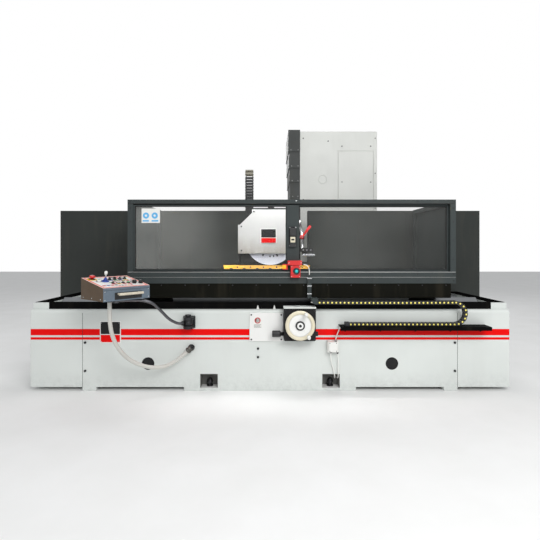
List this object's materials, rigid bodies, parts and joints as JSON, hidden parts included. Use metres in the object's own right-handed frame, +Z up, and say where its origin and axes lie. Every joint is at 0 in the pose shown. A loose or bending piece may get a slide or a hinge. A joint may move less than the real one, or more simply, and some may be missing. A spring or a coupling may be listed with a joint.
{
  "type": "surface grinder",
  "caption": "Large moving-column surface grinder: long grey bed, traversing table in a windowed enclosure, peripheral wheel with guard, tall column, handwheel and swing-arm control console.",
  "frame": {"origin": "on the floor at the middle of the bed's length, under the wheel spindle axis, on the underside of the bed's central foot", "axes": "+X along the table traverse to the operator's right, +Y from the operator to the column, +Z up"},
  "size_m": [4.298, 3.5399, 2.495],
  "materials": {
    "abrasive": "bonded abrasive",
    "bed_paint": "satin light grey paint",
    "black_plastic": "moulded",
    "black_sheet": "satin black",
    "bright_steel": "turned",
    "column_paint": "satin light grey",
    "console_paint": "blue-grey",
    "cover_steel": "satin dark sheet",
    "cream_plastic": "moulded",
    "dark_box_paint": "satin",
    "dark_steel": "blackened",
    "end_paint": "satin light grey paint",
    "frame_paint": "satin slate grey",
    "grey_plastic": "ribbed",
    "ground_iron": "ground",
    "orange_paint": "gloss orange",
    "pane": "polycarbonate",
    "red_plastic": "gloss",
    "teal_plastic": "gloss",
    "trough_paint": "dark brown-black",
    "wall_paint": "satin dark grey",
    "white_paint": "satin white",
    "white_plastic": "moulded"
  },
  "bodies": {
    "bed": {"bed_casting": "bed_paint", "bed_end_cover_left": "end_paint", "bed_end_cover_right": "end_paint", "guideways": "ground_iron", "way_guards": "black_sheet", "rear_bed": "bed_paint", "splash_wall": "wall_paint", "cover_plate": "white_paint", "handwheel_box": "dark_box_paint", "chain_tray": "black_sheet", "junction_box": "white_plastic", "pivot_block": "dark_steel", "table_cylinder": "bright_steel", "cross_feed_drive": "dark_steel", "bed_fittings": "dark_steel", "table_chain": "black_plastic", "pendant_conduit": "grey_plastic", "tray_lead": "white_plastic", "pocket_lead_left": "white_plastic", "pocket_lead_right": "white_plastic"},
    "table": {"table_casting": "ground_iron", "piston_rod": "bright_steel", "coolant_trough": "trough_paint", "enclosure_frame": "frame_paint", "enclosure_sides": "frame_paint", "work_fixture": "orange_paint", "door_switch": "red_plastic", "switch_lead": "white_plastic", "chain_bracket": "frame_paint"},
    "switch_plunger": {"switch_button": "teal_plastic"},
    "left_door": {"left_door": "frame_paint", "left_pane": "pane"},
    "right_door": {"right_door": "frame_paint", "right_pane": "pane"},
    "column": {"cross_saddle": "column_paint", "column": "column_paint", "vertical_drive": "dark_steel", "cover_segment_1": "cover_steel", "head_chain": "black_plastic"},
    "upper_cover": {"cover_segment_2": "cover_steel"},
    "lower_cover": {"cover_segment_3": "cover_steel"},
    "head": {"wheelhead": "column_paint", "wheel_guard": "dark_box_paint", "guard_cover": "white_paint", "coolant_nozzle": "white_paint", "cover_segment_4": "cover_steel"},
    "valve_lever": {"valve_lever": "red_plastic"},
    "spindle": {"spindle": "bright_steel", "grinding_wheel": "abrasive"},
    "handwheel": {"handwheel": "cream_plastic"},
    "clutch_knob": {"clutch_knob": "black_plastic"},
    "console_arm": {"console_arm": "bright_steel"},
    "console": {"console_box": "console_paint", "selector_switches": "black_plastic"},
    "estop_button": {"estop_button": "red_plastic"},
    "start_button": {"start_button": "white_plastic"},
    "joystick": {"joystick": "white_plastic"},
    "push_buttons": {"push_buttons": "black_plastic"},
    "override_knob_left": {"override_knob_left": "black_plastic"},
    "override_knob_right": {"override_knob_right": "black_plastic"}
  },
  "joints": [
    {"name": "table_traverse", "type": "slide", "parent": "bed", "child": "table", "axis": [1, 0, 0], "range_m": [-0.965, 0.62], "deforming": ["table_chain"]},
    {"name": "door_switch_press", "type": "slide", "parent": "table", "child": "switch_plunger", "axis": [0, 1, 0], "range_m": [0, 0.004], "stiffness_N_per_m": 400},
    {"name": "left_door_slide", "type": "slide", "parent": "table", "child": "left_door", "axis": [1, 0, 0], "range_m": [0, 1.15]},
    {"name": "right_door_slide", "type": "slide", "parent": "table", "child": "right_door", "axis": [-1, 0, 0], "range_m": [0, 1.15]},
    {"name": "cross_feed", "type": "slide", "parent": "bed", "child": "column", "axis": [0, 1, 0], "range_m": [-0.32, 0.29]},
    {"name": "head_vertical", "type": "slide", "parent": "column", "child": "head", "axis": [0, 0, 1], "range_m": [-0.004, 0.45], "deforming": ["head_chain"]},
    {"name": "upper_cover_slide", "type": "slide", "parent": "column", "child": "upper_cover", "axis": [0, 0, 1], "range_m": [-0.0014, 0.151]},
    {"name": "lower_cover_slide", "type": "slide", "parent": "column", "child": "lower_cover", "axis": [0, 0, 1], "range_m": [-0.0027, 0.301]},
    {"name": "coolant_valve", "type": "hinge", "parent": "head", "child": "valve_lever", "pos_m": [0.286, -0.105, 1.24], "axis": [0, 1, 0], "range_deg": [0, 60]},
    {"name": "wheel_spin", "type": "hinge", "parent": "head", "child": "spindle", "pos_m": [0, 0, 1.211], "axis": [0, 1, 0], "continuous": true},
    {"name": "handwheel_turn", "type": "hinge", "parent": "bed", "child": "handwheel", "pos_m": [0.232, -0.6, 0.542], "axis": [0, -1, 0], "continuous": true},
    {"name": "clutch_knob_turn", "type": "hinge", "parent": "bed", "child": "clutch_knob", "pos_m": [0.06, -0.562, 0.466], "axis": [1, 0, 0], "range_deg": [0, 90]},
    {"name": "arm_swing", "type": "hinge", "parent": "bed", "child": "console_arm", "pos_m": [-0.643, -0.56, 0.551], "axis": [0, 0, 1], "range_deg": [0, 70], "deforming": ["pendant_conduit"]},
    {"name": "console_swivel", "type": "hinge", "parent": "console_arm", "child": "console", "pos_m": [-1.115, -0.823, 0.79], "axis": [0, 0, 1], "range_deg": [-35, 35]},
    {"name": "estop_press", "type": "slide", "parent": "console", "child": "estop_button", "axis": [-0.1394, 0.117, -0.9833], "range_m": [0, 0.005], "stiffness_N_per_m": 600},
    {"name": "start_press", "type": "slide", "parent": "console", "child": "start_button", "axis": [-0.1394, 0.117, -0.9833], "range_m": [0, 0.004], "stiffness_N_per_m": 400},
    {"name": "joystick_tilt", "type": "hinge", "parent": "console", "child": "joystick", "pos_m": [-1.17382, -0.86763, 0.9036], "axis": [0.6428, 0.766, 0], "range_deg": [-15, 15], "stiffness_Nm_per_rad": 1},
    {"name": "push_buttons_press", "type": "slide", "parent": "console", "child": "push_buttons", "axis": [-0.1394, 0.117, -0.9833], "range_m": [0, 0.003], "stiffness_N_per_m": 400},
    {"name": "override_left_turn", "type": "hinge", "parent": "console", "child": "override_knob_left", "pos_m": [-0.99195, -0.79049, 0.88292], "axis": [0.1394, -0.117, 0.9833], "range_deg": [-135, 135]},
    {"name": "override_right_turn", "type": "hinge", "parent": "console", "child": "override_knob_right", "pos_m": [-0.95549, -0.76234, 0.8811], "axis": [0.1394, -0.117, 0.9833], "range_deg": [-135, 135]}
  ],
  "couplings": [
    {"joint": "upper_cover_slide", "follows": "head_vertical", "ratio": 0.33333},
    {"joint": "lower_cover_slide", "follows": "head_vertical", "ratio": 0.66667}
  ]
}
